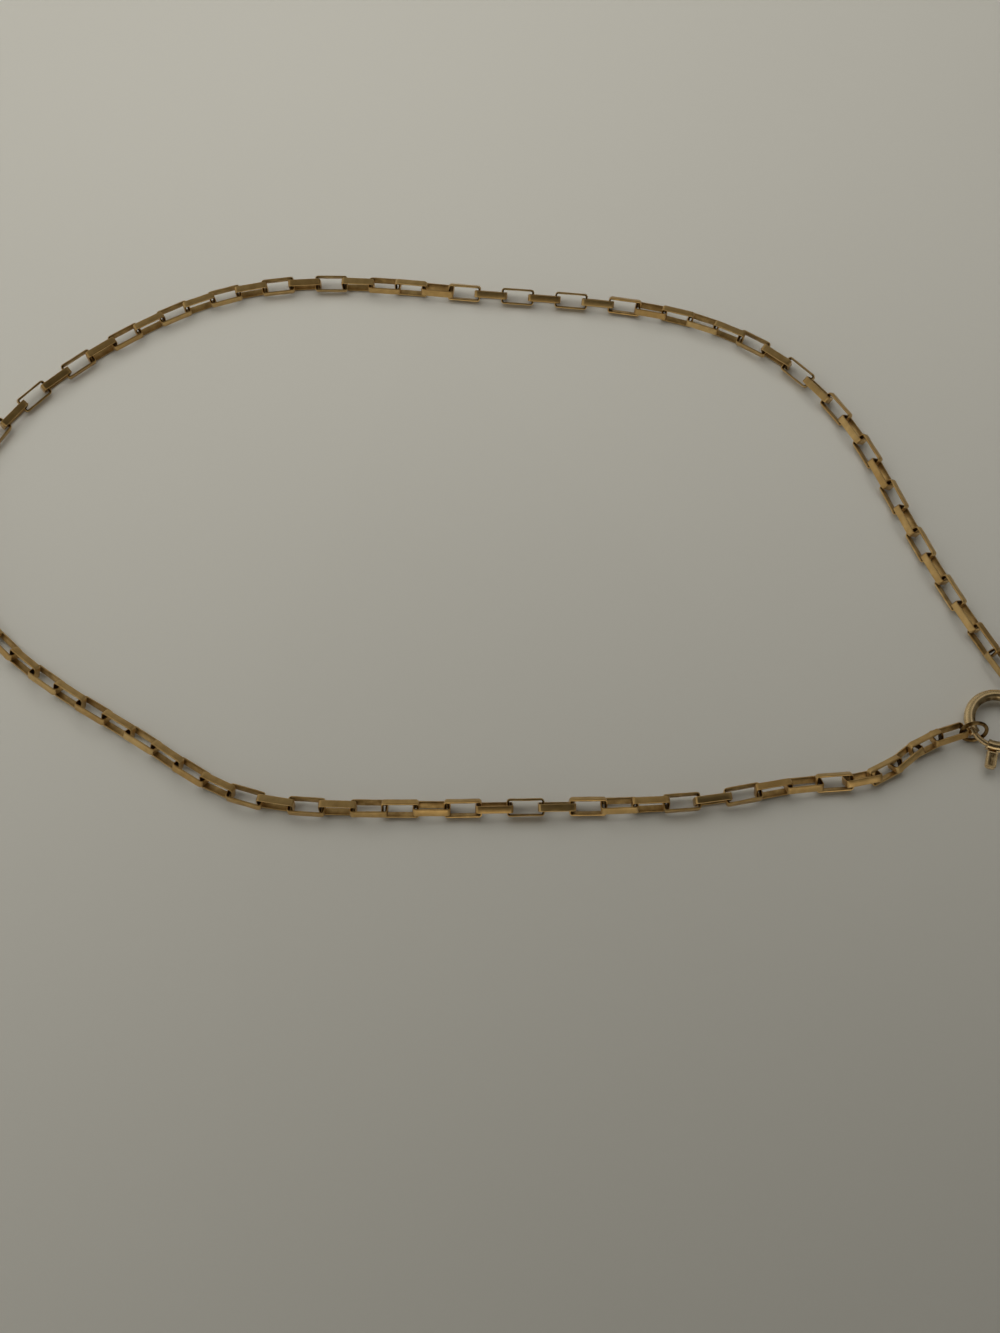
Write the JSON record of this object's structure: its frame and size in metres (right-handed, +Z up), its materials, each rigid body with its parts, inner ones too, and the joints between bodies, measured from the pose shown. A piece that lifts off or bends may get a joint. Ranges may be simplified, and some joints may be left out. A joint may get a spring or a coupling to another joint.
{
  "type": "chain anklet",
  "caption": "Anklet of interlocking rectangular strip links, lying as a loose loop closed by a bolt ring clasp with a sliding thumb tab.",
  "frame": {"origin": "middle of the loop's bounding box, on the surface it lies on", "axes": "+X along the loop's longest extent, +Y from the near run to the far run, +Z up from the surface"},
  "size_m": [0.1022, 0.058, 0.0024],
  "materials": {
    "chain_gold": "polished yellow gold, lightly worn",
    "clasp_gold": "polished yellow gold",
    "trigger_gold": "polished yellow gold"
  },
  "bodies": {
    "anklet": {"chain_back": "chain_gold", "chain_front": "chain_gold", "end_ring": "chain_gold", "clasp_ring": "clasp_gold"},
    "trigger": {"clasp_trigger": "trigger_gold"}
  },
  "joints": [
    {"name": "trigger_slide", "type": "hinge", "parent": "anklet", "child": "trigger", "pos_m": [0.04665, -0.01999, 0.00095], "axis": [0, 0, 1], "range_deg": [0, 37], "stiffness_Nm_per_rad": 0.002}
  ]
}
